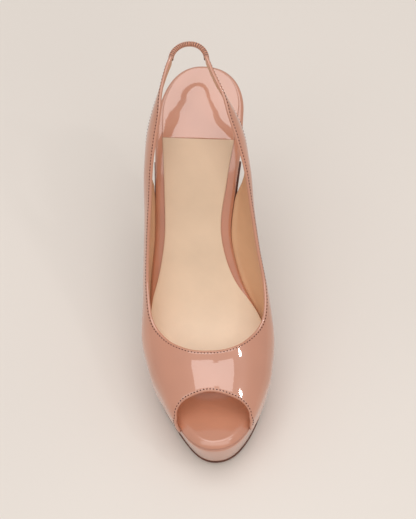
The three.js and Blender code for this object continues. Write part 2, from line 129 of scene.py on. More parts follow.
class LastSizes(bpy.types.PropertyGroup):
    """Sizes of the last, which every piece follows"""
    length: size("Length", "Toe to heel, seen from above", 0.214)
    ball_width: size("Ball width", "Insole across the ball", 0.0758)
    seat_width: size("Seat width", "Insole across the heel seat", 0.054)
    seat_rise: size("Seat rise", "Height of the heel seat over the ball", 0.104)
    toe_spring: size("Toe spring", "Lift of the toe off the floor", 0.0044)
    toe_swing: size("Toe swing", "Sideways curve of the middle line", 0.0055)
    instep: size("Instep", "Height of the crown over the insole", 0.052)
    widest: size("Widest level", "Height of the upper's fullest level", 0.014)
    swell: size("Swell", "How far the upper's sides stand out", 0.004)
    toe_round: size("Toe round", "Length of the rounded toe", 0.048)
    heel_round: size("Heel round", "Length of the rounded heel", 0.029)


class LayerSizes(bpy.types.PropertyGroup):
    """Thicknesses of the layers and the clearance between them"""
    outsole: size("Outsole", "Thickness of the outsole", 0.002)
    platform: size("Platform", "Thickness of the platform at the ball", 0.025)
    insole: size("Insole", "Thickness of the wrapped insole", 0.0044)
    sock: size("Sock", "Thickness of the sock and of the heel pad's edge", 0.001)
    wall: size("Upper's wall", "Thickness of the patent and its lining", 0.0018)
    clear: size("Clearance", "Space between pieces that touch", 0.0003)
    rand: size("Border", "Widest bare border of the wrapped insole", 0.006)
    sock_end: size("Sock end", "Sock's front edge ahead of the ball", 0.036)
    pad_length: size("Heel pad", "Length of the heel pad", 0.0462)
    pad_slant: size("Pad slant", "Slant of the heel pad's border", 0.0027)
    pad_puff: size("Pad puff", "Height of the heel pad's cushion", 0.0007)
    rim: size("Platform rim", "Platform's top beyond the insole", 0.0002)
    toe_undercut: size("Toe undercut", "Platform's bottom inside the insole at the toe", 0.0048)
    side_undercut: size("Side undercut", "Platform's bottom inside the insole at the ball", 0.0024)
    sole_welt: size("Sole edge", "Outsole beyond the platform", 0.0003)
    waist_welt: size("Waist edge", "Outsole beyond the insole in the waist", 0.0008)


class TrimSizes(bpy.types.PropertyGroup):
    """Sizes of the topline, the peep, the sling and the stitching"""
    topline: size("Topline", "Height of the side topline", 0.0334)
    throat_curve: size("Throat curve", "Depth of the throat's curve", 0.010)
    peep_depth: size("Peep depth", "How far the peep reaches back", 0.0288)
    strap_height: size("Strap height", "Height of a strap's end", 0.009)
    sling_span: size("Sling span", "Width that the straps close in to", 0.022)
    loop_reach: size("Loop reach", "How far the elastic loops back", 0.0124)
    elastic: size("Elastic", "Diameter of the gathered elastic", 0.0030)
    stitch_inset: size("Stitch inset", "Stitch line's distance from the edge", 0.0016)
    stitch_pitch: size("Stitch pitch", "Length from stitch to stitch", 0.0020)
    stitch_length: size("Stitch length", "Length of a stitch", 0.00105)
    thread: size("Thread", "Thickness of the thread", 0.00075)


class HeelSizes(bpy.types.PropertyGroup):
    """Sizes of the heel and its top piece"""
    breast: size("Breast", "Heel seat's length from the back to the breast", 0.0542)
    margin: size("Seat margin", "Heel's edge inside the insole's", 0.0008)
    tip_width: size("Tip width", "Width of the tip", 0.011)
    tip_length: size("Tip length", "Length of the tip", 0.012)
    tip_back: size("Tip back", "Tip's distance ahead of the seat's back", 0.0222)
    top_piece: size("Top piece", "Height of the top piece", 0.006)


class ShoeColours(bpy.types.PropertyGroup):
    """Colours of the shoe's materials"""
    patent: colour("Patent", "Nude patent leather", (0.57, 0.245, 0.150))
    lining: colour("Lining", "Tan lining of the upper", (0.90, 0.58, 0.35))
    sock: colour("Sock", "Tan sock", (0.96, 0.80, 0.62))
    sole: colour("Sole edge", "Stained leather edge", (0.12, 0.035, 0.018))
    tread: colour("Tread", "Sanded underside of the sole", (0.45, 0.27, 0.15))
    lift: colour("Top piece", "Hard rubber", (0.06, 0.03, 0.02))
    # The thread's colour is a dark thread made darker still: painted shade of the stitch holes
    thread: colour("Thread", "Stitching thread", (0.075, 0.022, 0.013))
    floor: colour("Floor", "Pale floor", (0.80, 0.735, 0.675))


def curve(keys, values):
    """A smooth curve through a table's rows: each row's slope is that of the parabola through it."""
    keys = np.asarray(keys, float)
    values = np.asarray(values, float)
    steps = np.diff(keys)
    rates = np.diff(values) / steps
    slopes = np.empty(len(keys))
    slopes[0], slopes[-1] = rates[0], rates[-1]
    slopes[1:-1] = (rates[:-1] * steps[1:] + rates[1:] * steps[:-1]) / (steps[:-1] + steps[1:])

    def at(place):
        place = np.clip(np.asarray(place, float), keys[0], keys[-1])
        i = np.clip(np.searchsorted(keys, place, side="right") - 1, 0, len(keys) - 2)
        h = steps[i]
        a = (place - keys[i]) / h
        b = 1 - a
        return (values[i] * (1 + 2 * a) * b * b + slopes[i] * h * a * b * b
                + values[i + 1] * a * a * (3 - 2 * a) - slopes[i + 1] * h * a * a * b)

    return at


def mix(a, b, t):
    return a + (b - a) * t


def smooth(t):
    t = np.clip(t, 0, 1)
    return t * t * (3 - 2 * t)


class Last:
    """The last, and the surfaces that are measured on it, in metres."""

    def __init__(self, scene):
        self.sizes, self.layers = scene.shoe_last, scene.shoe_layers
        self.trim, self.stiletto = scene.shoe_trim, scene.shoe_heel
        self.keys = self.place(np.array(LAST["along"]))
        self.toe, self.heel = self.place(0), self.place(SEAT_END)
        row = {name: np.array(column) for name, column in LAST.items()}
        sizes, layers = self.sizes, self.layers
        ball_bed = layers.outsole + layers.clear + layers.platform + layers.clear + layers.insole
        self.bed = self.column(ball_bed + row["spring"] * sizes.toe_spring + row["rise"] * sizes.seat_rise)
        self.middle = self.column(row["swing"] * sizes.toe_swing)
        width = mix(sizes.ball_width, sizes.seat_width, row["heelward"])
        self.feather = layers.clear + layers.wall
        self.body, self.swell, self.level = {}, {}, {}
        for side in SIDES:
            half = row[side] * width
            span = row["span_" + side]
            stand = np.where(span > 0, span * self.trim.sling_span - half - self.feather,
                             row["swell_" + side] * sizes.swell)
            self.body[side] = self.column(half)
            self.swell[side] = self.column(stand)
            self.level[side] = self.column(row["level_" + side] * sizes.widest)
        self.crown = self.column(row["crown"] * sizes.instep)
        self.topline = curve(self.place(np.array(TOPLINE["along"])),
                             np.array(TOPLINE["height"]) * self.trim.topline)
        self.strap_lift = curve(STRAP["run"], STRAP["lift"])
        self.rand = curve(self.place(np.array(RAND["along"])), np.array(RAND["share"]) * layers.rand)
        self.outsole_offset = curve(
            self.place(np.array([0, UNDERCUT_END, TREAD_END, WEDGE_END])),
            [layers.sole_welt - layers.toe_undercut, layers.sole_welt - layers.side_undercut,
             layers.sole_welt - layers.side_undercut, layers.waist_welt])
        self.make_edges()

    def place(self, share):
        return (share - BALL_AT) * self.sizes.length

    def column(self, values):
        return curve(self.keys, values)

    def toe_cap(self, y):
        front = np.clip((self.toe + self.sizes.toe_round - y) / self.sizes.toe_round, 0, 1)
        return (1 - front ** TOE_FALL) ** (1 / TOE_FULLNESS)

    def heel_cap(self, y):
        back = np.clip((y - self.heel + self.sizes.heel_round) / self.sizes.heel_round, 0, 1)
        return (1 - back ** HEEL_FALL) ** (1 / HEEL_FULLNESS)

    def open_half(self, side, y):
        return self.body[side](y) * self.toe_cap(y)

    def insole_half(self, side, y):
        return self.open_half(side, y) * self.heel_cap(y)

    def slope(self, line, y, step=0.5 * MM):
        return (line(y + step) - line(y - step)) / (2 * step)

    def stretch(self, line, y):
        return np.hypot(1, self.slope(line, y))

    def down(self, y, depth):
        """Height at a depth below the insole's top, square to its slope"""
        return self.bed(y) - depth * self.stretch(self.bed, y)

    def section(self, side, y):
        """Half widths at the foot and where it is widest, and the heights of the wall's base, of the
        widest level and of the crown over the insole"""
        def half(at):
            return self.open_half(side, at)

        foot = half(y) + self.feather * self.stretch(half, y)
        wide = foot + self.swell[side](y) * self.toe_cap(y)
        base = -self.layers.insole * self.stretch(self.bed, y)
        return foot, wide, base, self.level[side](y), self.crown(y)

    def outside(self, y, girth):
        """Points of the upper's outside. Girth is 0 on the crown, 1 at the widest level and 2 at
        the sole, and negative on the outer side of the foot."""
        y, girth = np.broadcast_arrays(np.asarray(y, float), np.asarray(girth, float))
        outer = girth < 0
        parts = [np.where(outer, a, b) for a, b in zip(self.section("outer", y), self.section("inner", y))]
        foot, wide, base, level, crown = parts
        climb = np.clip(2 - np.abs(girth), 0, 2)
        lower = np.minimum(1, climb)
        turn = np.clip(climb - 1, 0, 1) * np.pi / 2
        low_x = foot + (wide - foot) * (1 - (1 - lower) ** LOWER_FULLNESS)
        high_x = wide * np.maximum(0, np.cos(turn)) ** (2 / SQUARENESS)
        low_z = mix(base, level, lower)
        high_z = mix(level, crown, np.sin(turn) ** (2 / SQUARENESS))
        up = climb > 1
        x = np.where(up, high_x, low_x)
        z = np.where(up, high_z, low_z)
        return np.stack([self.middle(y) + np.where(outer, -x, x), y, self.bed(y) + z], -1)

    def girth_at(self, side, y, height):
        """Girth at which one side of the outside reaches a height over the insole"""
        base, level, crown = self.section(side, y)[2:]
        rise = np.clip((height - level) / (crown - level), 0, 1)
        high = 1 - np.arcsin(rise ** (SQUARENESS / 2)) / (np.pi / 2)
        low = 2 - np.clip((height - base) / (level - base), 0, 1)
        return SIDES[side]["sign"] * np.where(height > level, high, low)

    def in_wall(self, y, girth, depth):
        """Points inside the upper's wall, depth below its outside"""
        along = self.outside(y + 0.4 * MM, girth) - self.outside(y - 0.4 * MM, girth)
        step = 0.02
        high = np.minimum(2, girth + step)
        low = np.maximum(-2, girth - step)
        inward = np.cross(along, self.outside(y, high) - self.outside(y, low))
        inward /= np.linalg.norm(inward, axis=-1, keepdims=True)
        return self.outside(y, girth) + inward * np.asarray(depth)[..., None]

    def lengths(self, y, girth):
        """Lengths along each row of points on the upper's outside"""
        pieces = np.linalg.norm(np.diff(self.outside(y, girth), axis=1), axis=2)
        return np.concatenate([np.zeros((len(y), 1)), np.cumsum(pieces, axis=1)], 1)

    def strap_edge(self, side, y):
        """Height of the lower edge where a quarter rises into its strap"""
        leave = self.place(SIDES[side]["leave"])
        run = np.clip((y - leave) / (self.place(STRAP_END) - leave), 0, 1)
        base = self.section(side, y)[2]
        return mix(base, self.topline(y) - self.trim.strap_height, self.strap_lift(run))

    def make_edges(self):
        """The upper's two edges, rib by rib from the outer strap over the vamp to the inner strap"""
        knots = []
        for side in SIDES:
            sign = SIDES[side]["sign"]
            side_y = self.place(np.array(RIBS["top"]))
            side_girth = self.girth_at(side, side_y, self.topline(side_y))
            rows = list(zip(RIBS["rib"], side_y, side_girth))
            throat_y = self.place(THROAT_AT) + np.array(THROAT["back"]) * self.trim.throat_curve
            rows += list(zip(THROAT["rib"], throat_y, sign * np.array(THROAT["girth"])))
            if side == "outer":
                knots += rows
            else:
                knots += [(2 * HALF_RIBS - rib, y, girth) for rib, y, girth in rows[-2::-1]]
        ribs, places, girths = (np.array(column, float) for column in zip(*knots))
        self.top_place, self.top_girth = curve(ribs, places), curve(ribs, girths)
        edge = []
        for side in ("outer", "inner"):
            sign = SIDES[side]["sign"]
            corner = self.place(SIDES[side]["corner"])
            rows = []
            for run, girth, depth in zip(PEEP["run"], PEEP["girth"], PEEP["depth"]):
                y = self.toe + depth * self.trim.peep_depth if depth > 0 else corner
                rows.append(((1 + sign * run) / 2, y, sign * girth))
            edge += rows[::-1] if side == "outer" else rows[1:]
        ways, places, girths = (np.array(column, float) for column in zip(*edge))
        self.peep_place, self.peep_girth = curve(ways, places), curve(ways, girths)
        self.base_place = {
            side: curve(list(RIBS["rib"]) + [BASE_RIB, CORNER_RIB],
                        self.place(np.array(list(RIBS["base"]) + [BASE_PLACE, SIDES[side]["corner"]])))
            for side in SIDES}

    def top_edge(self, rib):
        return self.top_place(rib), self.top_girth(rib)

    def bottom_edge(self, rib):
        """Place and girth of the lower edge: under a strap, at the insole or round the peep"""
        rib = np.asarray(rib, float)
        count = np.minimum(rib, 2 * HALF_RIBS - rib)
        way = (rib - CORNER_RIB) / (2 * (HALF_RIBS - CORNER_RIB))
        y, girth = self.peep_place(way), self.peep_girth(way)
        for side, mine in (("outer", rib < HALF_RIBS), ("inner", rib >= HALF_RIBS)):
            side_y = self.base_place[side](count)
            strap = self.girth_at(side, side_y, self.strap_edge(side, side_y))
            on_strap = side_y > self.place(SIDES[side]["leave"])
            side_girth = np.where(on_strap, strap, SIDES[side]["sign"] * 2)
            here = mine & (count < CORNER_RIB)
            y = np.where(here, side_y, y)
            girth = np.where(here, side_girth, girth)
        return y, girth

    def under_insole(self, y):
        return self.down(y, self.layers.insole + self.layers.clear)

    def sole_top(self, y):
        """Height of the outsole's top, on the floor in front and under the insole in the waist"""
        spring_at = self.place(SPRING_AT)
        spring = self.sizes.toe_spring * np.clip((spring_at - y) / (spring_at - self.toe), 0, 1) ** 2
        run = (y - self.place(TREAD_END)) / (self.place(WEDGE_END) - self.place(TREAD_END))
        return mix(self.layers.outsole + spring, self.under_insole(y), smooth(run))

    def above_sole(self, y):
        return self.sole_top(y) + self.layers.clear * self.stretch(self.sole_top, y)

    def below_sole(self, y):
        return self.sole_top(y) - self.layers.outsole * self.stretch(self.sole_top, y)

    def plan(self, side, y, offset):
        """Plan of the sole's layers: the insole's edge moved outwards by offset"""
        def half(at):
            return self.insole_half(side, at)

        step = np.clip(np.minimum(y - self.toe, self.heel - y) / 2, 1e-7, 0.05 * MM)
        slope = self.slope(half, y, step)
        long = np.hypot(1, slope)
        x = self.middle(y) + SIDES[side]["sign"] * np.maximum(0, half(y) + offset / long)
        return x, y - offset * slope / long


def spaced(u, start, end):
    """Places along a layer, closer together towards the rounded ends"""
    crowding = 0.998
    return mix(mix(start, end, u), mix(start, end, (1 - np.cos(u * np.pi)) / 2), crowding)


def new_object(name, bm, materials, nodes=()):
    """Finish a mesh as a piece that rides on the shoe's body and stands for its nodes"""
    for face in bm.faces:
        face.smooth = True
    mesh = bpy.data.meshes.new(name)
    bm.to_mesh(mesh)
    bm.free()
    piece = bpy.data.objects.new(name, mesh)
    bpy.context.scene.collection.objects.link(piece)
    for material in materials:
        mesh.materials.append(material)
    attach(piece, BODY)
    if nodes:
        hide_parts(*nodes)
    return piece


def add_grid(bm, cells_u, cells_v, place, layer=None, mark=None):
    """Add a grid whose vertices move to where place(u, v) says, with u and v from 0 to 1. Where a
    layer is given, they carry what mark(u, v) says in it."""
    made = bmesh.ops.create_grid(bm, x_segments=cells_u, y_segments=cells_v, size=0.5)["verts"]
    spots = np.array([vert.co[:2] for vert in made]) + 0.5
    u = np.round(spots[:, 0] * cells_u) / cells_u
    v = np.round(spots[:, 1] * cells_v) / cells_v
    for vert, point in zip(made, place(u, v)):
        vert.co = point
    if layer is not None:
        for vert, value in zip(made, mark(u, v)):
            vert[layer] = value


def close_up(bm):
    """Merge what lies in one place, cap open ends and turn the faces outwards"""
    gap = 1e-7
    bmesh.ops.remove_doubles(bm, verts=bm.verts, dist=gap)
    bmesh.ops.dissolve_degenerate(bm, edges=bm.edges, dist=gap)
    bmesh.ops.holes_fill(bm, edges=[edge for edge in bm.edges if edge.is_boundary], sides=0)
    bmesh.ops.recalc_face_normals(bm, faces=bm.faces)


def new_block(cells, across, levels, point):
    """A closed block. point(u, t, k) gives its places: u along, t across and k the level."""
    bm = bmesh.new()
    path_u = np.concatenate([np.linspace(0, 1, cells + 1), np.ones(across),
                             np.linspace(1, 0, cells + 1)[1:], np.zeros(across)])
    path_t = np.concatenate([np.zeros(cells + 1), np.linspace(0, 1, across + 1)[1:],
                             np.ones(cells), np.linspace(1, 0, across + 1)[1:]])
    around = len(path_u) - 1

    def wall(u, v):
        i = np.round(u * around).astype(int)
        return point(path_u[i], path_t[i], v * levels)

    add_grid(bm, around, levels, wall)
    add_grid(bm, cells, across, lambda u, v: point(u, v, np.zeros(len(u))))
    add_grid(bm, cells, across, lambda u, v: point(u, v, np.full(len(u), float(levels))))
    close_up(bm)
    return bm


def slab(last, front, back, levels, puff=None):
    """Point function of a layer of the sole. Each level has a height and an offset from the plan."""
    heights = [level[0] for level in levels]
    offsets = [level[1] for level in levels]

    def point(u, t, k):
        k = np.round(k).astype(int)
        ends = {}
        for side in SIDES:
            place = spaced(u, front[side], back[side])
            offset = np.choose(k, [off(place) for off in offsets])
            ends[side] = last.plan(side, place, offset)
        x = mix(ends["outer"][0], ends["inner"][0], t)
        y = mix(ends["outer"][1], ends["inner"][1], t)
        z = np.choose(k, [height(y) for height in heights])
        if puff is not None:
            z = z + puff(u, t, k)
        return np.stack([x, y, z], -1)

    return point


def both(place):
    return {"outer": place, "inner": place}


def flat(value):
    return lambda y: np.full(np.shape(y), float(value))


def rounding(radius, steps):
    """Depth and inset of the levels of a rounded top edge, from the top down"""
    levels = []
    for angle in np.linspace(math.pi / 2, 0, steps + 1):
        depth = radius * (1 - math.sin(angle))
        inset = radius * (1 - math.cos(angle))
        levels.append((depth, inset))
    return levels


# Materials


class Surface:
    """A material in the making: its shader, and the nodes that its looks are put together from"""

    def __init__(self, name):
        self.material = bpy.data.materials.new(name)
        self.material.use_nodes = True
        self.nodes, self.links = self.material.node_tree.nodes, self.material.node_tree.links
        self.nodes.clear()
        out = self.nodes.new("ShaderNodeOutputMaterial")
        self.shader = self.nodes.new("ShaderNodeBsdfPrincipled")
        self.links.new(self.shader.outputs[0], out.inputs[0])
        self.place = self.nodes.new("ShaderNodeTexCoord").outputs["Object"]

    def fill(self, node, values, sources):
        """Set some of a node's sockets and link others to the outputs of other nodes"""
        for name, value in values.items():
            node.inputs[name].default_value = value
        for name, source in sources.items():
            self.links.new(source, node.inputs[name])
        return node

    def add(self, kind, values, sources):
        return self.fill(self.nodes.new("ShaderNode" + kind), values, sources)

    def noise(self, scale, detail, roughness=0.5):
        values = {"Scale": scale, "Detail": detail, "Roughness": roughness}
        return self.add("TexNoise", values, {"Vector": self.place}).outputs["Fac"]

    def ramp(self, value, stops):
        node = self.add("ValToRGB", {}, {"Fac": value})
        elements = node.color_ramp.elements
        while len(elements) < len(stops):
            elements.new(0.5)
        for element, (position, shade) in zip(elements, stops):
            element.position = position
            element.color = (*shade, 1.0)
        return node.outputs["Color"]

    def tinted(self, value, shade, stops):
        """The shade, darker or lighter by the factor that each stop gives"""
        return self.ramp(value, [(position, tint(shade, factor)) for position, factor in stops])

    def bump(self, height, strength, distance, after=None):
        sources = {"Height": height}
        if after is not None:
            sources["Normal"] = after
        return self.add("Bump", {"Strength": strength, "Distance": distance}, sources).outputs["Normal"]

    def finish(self, values, sources):
        """Fill in the shader and return the finished material"""
        self.fill(self.shader, values, sources)
        return self.material


def tint(shade, factor):
    return tuple(min(1.0, channel * factor) for channel in shade)


def patent_leather(name, shade):
    """Patent: a stained base under a clear coat that waves a little"""
    surface = Surface(name)
    soft = surface.bump(surface.noise(55.0, 1.0), 0.05, 0.004)
    return surface.finish(
        {"Roughness": 0.32, "Specular IOR Level": 0.5,
         "Coat Weight": 1.0, "Coat Roughness": 0.035, "Coat IOR": 1.75},
        {"Base Color": surface.tinted(surface.noise(28.0, 2.0), shade, ((0.3, 0.93), (0.7, 1.06))),
         "Normal": surface.bump(surface.noise(900.0, 2.0), 0.02, 0.0003, soft), "Coat Normal": soft})


def satin_patent(name, shade):
    """The insole's cover: patent whose coat is softer where the foot rests"""
    surface = Surface(name)
    soft = surface.bump(surface.noise(60.0, 1.0), 0.05, 0.004)
    return surface.finish(
        {"Roughness": 0.36, "Specular IOR Level": 0.4,
         "Coat Weight": 1.0, "Coat Roughness": 0.1, "Coat IOR": 1.7},
        {"Base Color": surface.tinted(surface.noise(40.0, 2.0), shade, ((0.3, 0.93), (0.7, 1.05))),
         "Normal": soft, "Coat Normal": soft})


def smooth_leather(name, shade):
    """Lining leather: fine grain and soft cloudy colour, with painted light and shade: paler toward the toe
    and darker toward the heel
    """
    surface = Surface(name)
    clouded = surface.tinted(surface.noise(35.0, 4.0, 0.6), shade, ((0.25, 0.93), (0.75, 1.04)))
    # Painted light and shade: the colour is multiplied paler toward the toe and darker toward the heel,
    # along the object's Y
    axes = surface.add("SeparateXYZ", {}, {"Vector": surface.place})
    along = surface.add("MapRange", {"From Min": -0.03, "From Max": 0.09}, {"Value": axes.outputs["Y"]})
    heelward = surface.ramp(along.outputs["Result"], (
        (0.0, (1.0, 1.0, 1.0)), (0.45, (0.88, 0.81, 0.75)), (1.0, (0.72, 0.61, 0.53))))
    colour_with_painted_light = surface.add("Mix", {}, {})
    colour_with_painted_light.data_type = "RGBA"
    colour_with_painted_light.blend_type = "MULTIPLY"
    surface.fill(colour_with_painted_light, {"Factor": 1.0}, {"A": clouded, "B": heelward})
    return surface.finish(
        {"Roughness": 0.5, "Sheen Weight": 0.15},
        {"Base Color": colour_with_painted_light.outputs["Result"],
         "Normal": surface.bump(surface.noise(1500.0, 4.0, 0.7), 0.12, 0.0003)})


def stained_edge(name, shade):
    """Stained and burnished leather of the sole's edge"""
    surface = Surface(name)
    fibre = surface.noise(420.0, 5.0, 0.6)
    return surface.finish(
        {"Roughness": 0.42},
        {"Base Color": surface.tinted(fibre, shade, ((0.3, 0.7), (0.75, 1.4))),
         "Normal": surface.bump(fibre, 0.15, 0.0004)})


def sanded_sole(name, shade):
    """Sanded leather of the sole's underside"""
    surface = Surface(name)
    fibre = surface.noise(700.0, 6.0, 0.65)
    return surface.finish(
        {"Roughness": 0.6},
        {"Base Color": surface.tinted(fibre, shade, ((0.3, 0.8), (0.75, 1.15))),
         "Normal": surface.bump(fibre, 0.2, 0.0004)})


def twisted_thread(name, shade):
    surface = Surface(name)
    twist = surface.noise(2500.0, 2.0)
    return surface.finish(
        {"Roughness": 0.85, "Specular IOR Level": 0.15},
        {"Base Color": surface.tinted(twist, shade, ((0.3, 0.7), (0.7, 1.3)))})


def gathered_patent(name, shade):
    """Thin patent gathered over the elastic, with painted shade in its creases and painted light on the
    gathers' tops
    """
    surface = Surface(name)
    crease = surface.add("Attribute", {}, {})
    crease.attribute_name = "crease"
    # Painted light and shade: paler on the gathers' tops, darkest in the pinches between them
    stops = ((0.15, 1.2), (0.36, 0.5), (0.58, 0.08))
    return surface.finish(
        {"Roughness": 0.35, "Coat Weight": 0.5, "Coat Roughness": 0.12},
        {"Base Color": surface.tinted(crease.outputs["Fac"], shade, stops),
         "Normal": surface.bump(surface.noise(1200.0, 3.0), 0.1, 0.0002)})


def materials(scene):
    colours = scene.shoe_colours
    made = {}
    for key, make, shade in (
            ("patent", patent_leather, colours.patent), ("lining", smooth_leather, colours.lining),
            ("sock", smooth_leather, colours.sock), ("insole", satin_patent, colours.patent),
            ("elastic", gathered_patent, colours.patent), ("sole", stained_edge, colours.sole),
            ("tread", sanded_sole, colours.tread), ("lift", stained_edge, colours.lift),
            ("thread", twisted_thread, colours.thread)):
        name = "shoe_" + key
        made[key] = bpy.data.materials.get(name) or make(name, tuple(shade))
    return made


# Pieces


class SHOE_OT_upper(bpy.types.Operator):
    """Build the upper: vamp, quarters and straps in one shell with turned edges"""
    bl_idname = "shoe.upper"
    bl_label = "Upper"

    def execute(self, context):
        last = Last(context.scene)
        made = materials(context.scene)
        bm = bmesh.new()
        rows = bm.verts.layers.float.new("loop")
        loop = self.loop(last)
        loops = len(loop)
        columns_per_rib = 4

        def place(u, v):
            k = np.round(v * loops).astype(int) % loops
            return self.points(last, u * 2 * HALF_RIBS, loop, k)

        add_grid(bm, 2 * HALF_RIBS * columns_per_rib, loops, place, rows, lambda u, v: v)
        close_up(bm)
        start, stop = self.lining_span
        for face in bm.faces:
            where = [vert[rows] * loops for vert in face.verts]
            middle = sum(where) / len(where)
            face.material_index = 1 if start < middle < stop and max(where) - min(where) < 3 else 0
        new_object("patent_upper", bm, [made["patent"], made["lining"]], ["upper"])
        return {"FINISHED"}

    def loop(self, last):
        """Stations round a rib's section: kind, distance from an edge and depth in the wall"""
        half = last.layers.wall / 2
        near = np.array([0.0, 0.2, 0.4, 0.6, 0.8, 1.0, 1.3, 1.7, 2.2]) * MM + half
        middle = np.linspace(0, 1, 22)[1:-1]
        angles = np.linspace(0, math.pi, 9)[1:-1]
        loop = [("low", d, 0.0) for d in near]
        loop += [("middle", m, 0.0) for m in middle]
        loop += [("high", d, 0.0) for d in near[::-1]]
        loop += [("high", half * (1 - math.sin(a)), half * (1 - math.cos(a))) for a in angles]
        turned = len(loop)
        loop += [("high", d, last.layers.wall) for d in near]
        loop += [("middle", 1 - m, last.layers.wall) for m in middle]
        loop += [("low", d, last.layers.wall) for d in near[::-1]]
        self.lining_span = (turned + 3.5, len(loop) - 1)
        loop += [("low", half * (1 - math.sin(a)), half * (1 + math.cos(a))) for a in angles]
        return loop

    def points(self, last, rib, loop, k):
        """Places of the stations k on the ribs: stations are spread along each rib by length"""
        far = 3.1 * MM
        unique, which = np.unique(np.round(rib, 6), return_inverse=True)
        low_y, low_g = last.bottom_edge(unique)
        top_y, top_g = last.top_edge(unique)
        steps = np.linspace(0, 1, 41)
        y_grid = mix(low_y[:, None], top_y[:, None], steps)
        g_grid = mix(low_g[:, None], top_g[:, None], steps)
        length = last.lengths(y_grid, g_grid)
        whole = length[:, -1]
        share = np.empty((len(unique), len(loop)))
        depth = np.empty(len(loop))
        raised = np.zeros((len(unique), len(loop)))
        sewn_low = self.sewn_low(unique)
        for j, (kind, value, level) in enumerate(loop):
            if kind == "low":
                distance = np.full(len(unique), value)
            elif kind == "high":
                distance = whole - value
            else:
                distance = far + value * (whole - 2 * far)
            share[:, j] = [np.interp(d, row, steps) for d, row in zip(distance, length)]
            depth[j] = level
            if level == 0.0:
                raised[:, j] = (self.relief(last, whole - distance)
                                + self.relief(last, distance) * sewn_low
                                + self.lip(unique, whole - distance))
        way = share[which, k]
        y = mix(low_y[which], top_y[which], way)
        girth = mix(low_g[which], top_g[which], way)
        found = last.in_wall(y, girth, depth[k] - raised[which, k])
        tuck = np.array([level / last.layers.wall * max(0, 1 - value / far) if kind == "low" else 0.0
                         for kind, value, level in loop])
        return self.lasted(last, found, rib, tuck[k])

    def lasted(self, last, found, rib, tuck):
        """Draw the lining's lower edge in against the side of the insole, as lasting does"""
        count = np.minimum(rib, 2 * HALF_RIBS - rib)
        tuck = tuck * smooth((count - LASTED_RIB) / 1.2) * smooth((CORNER_RIB - 0.6 - count) / 1.5)
        x, y = found[:, 0], found[:, 1]
        half = np.where(rib < HALF_RIBS, last.open_half("outer", y), last.open_half("inner", y))
        out = x - last.middle(y)
        overlap = 0.3 * MM
        spare = np.maximum(0, np.abs(out) - (half - overlap))
        return np.stack([x - np.sign(out) * spare * tuck, y, found[:, 2]], -1)

    def sewn_low(self, rib):
        """1 where the lower edge is sewn, at the free straps and the peep, and 0 where it is lasted"""
        count = np.minimum(rib, 2 * HALF_RIBS - rib)
        return 1 - smooth((count - SEWN_RIB) / 2) * (1 - smooth((count - CORNER_RIB + 1) / 2))

    def relief(self, last, distance):
        """Soft roll of a turned edge, and the groove that its stitches pull"""
        def ridge(height, middle, width):
            return height * np.exp(-((distance - middle) / width) ** 2)

        return ridge(0.16 * MM, 0.8 * MM, 0.7 * MM) - ridge(0.12 * MM, last.trim.stitch_inset, 0.3 * MM)

    def lip(self, rib, distance):
        """The throat's edge stands up a little from the vamp"""
        count = np.minimum(rib, 2 * HALF_RIBS - rib)
        height, width = 0.22 * MM, 5.0 * MM
        return height * smooth((count - LIP_RIB) / 8) * np.exp(-(distance / width) ** 2)


class SHOE_OT_stitching(bpy.types.Operator):
    """Sew the topline, the peep and the straps' lower edges"""
    bl_idname = "shoe.stitching"
    bl_label = "Stitching"

    def execute(self, context):
        last = Last(context.scene)
        made = materials(context.scene)
        bm = bmesh.new()
        ribs, strap, peep = 2 * HALF_RIBS, SEWN_RIB + 0.6, CORNER_RIB + 0.8
        for start, end, points, top in (
                (SEAM_RIB, ribs - SEAM_RIB, 4001, True), (peep, ribs - peep, 1201, False),
                (SEAM_RIB, strap, 601, False), (ribs - strap, ribs - SEAM_RIB, 601, False)):
            self.sew(bm, last, np.linspace(start, end, points), top)
        new_object("edge_stitching", bm, [made["thread"]])
        return {"FINISHED"}

    def line(self, last, rib, top):
        """Points of the seam, a stitch's inset away from an edge, and the directions out of the wall"""
        low_y, low_g = last.bottom_edge(rib)
        top_y, top_g = last.top_edge(rib)
        if not top:
            low_y, low_g, top_y, top_g = top_y, top_g, low_y, low_g
        steps = np.linspace(0, 0.3, 61)
        length = last.lengths(mix(top_y[:, None], low_y[:, None], steps),
                              mix(top_g[:, None], low_g[:, None], steps))
        share = np.array([np.interp(last.trim.stitch_inset, row, steps) for row in length])
        y, girth = mix(top_y, low_y, share), mix(top_g, low_g, share)
        sunk = last.in_wall(y, girth, np.full(len(rib), -0.03 * MM))
        deep = last.in_wall(y, girth, np.full(len(rib), 1.0 * MM))
        return sunk, sunk - deep

    def sew(self, bm, last, rib, top):
        points, out = self.line(last, rib, top)
        length = np.concatenate([[0], np.cumsum(np.linalg.norm(np.diff(points, axis=0), axis=1))])
        count = int(length[-1] / last.trim.stitch_pitch)
        half, thick = last.trim.stitch_length / 2, last.trim.thread / 2
        shape = Matrix.Diagonal((half, thick, thick, 1))
        for i in range(count):
            at = (i + 0.5) * length[-1] / count
            j = int(np.searchsorted(length, at))
            ahead = Vector(points[min(j + 3, len(points) - 1)] - points[max(j - 3, 0)]).normalized()
            normal = Vector(out[j]).normalized()
            sideways = normal.cross(ahead).normalized()
            turn = Matrix((ahead, sideways, ahead.cross(sideways))).transposed().to_4x4()
            place = Matrix.Translation(Vector(points[j]))
            bmesh.ops.create_uvsphere(bm, u_segments=8, v_segments=6, radius=1.0,
                                      matrix=place @ turn @ shape)


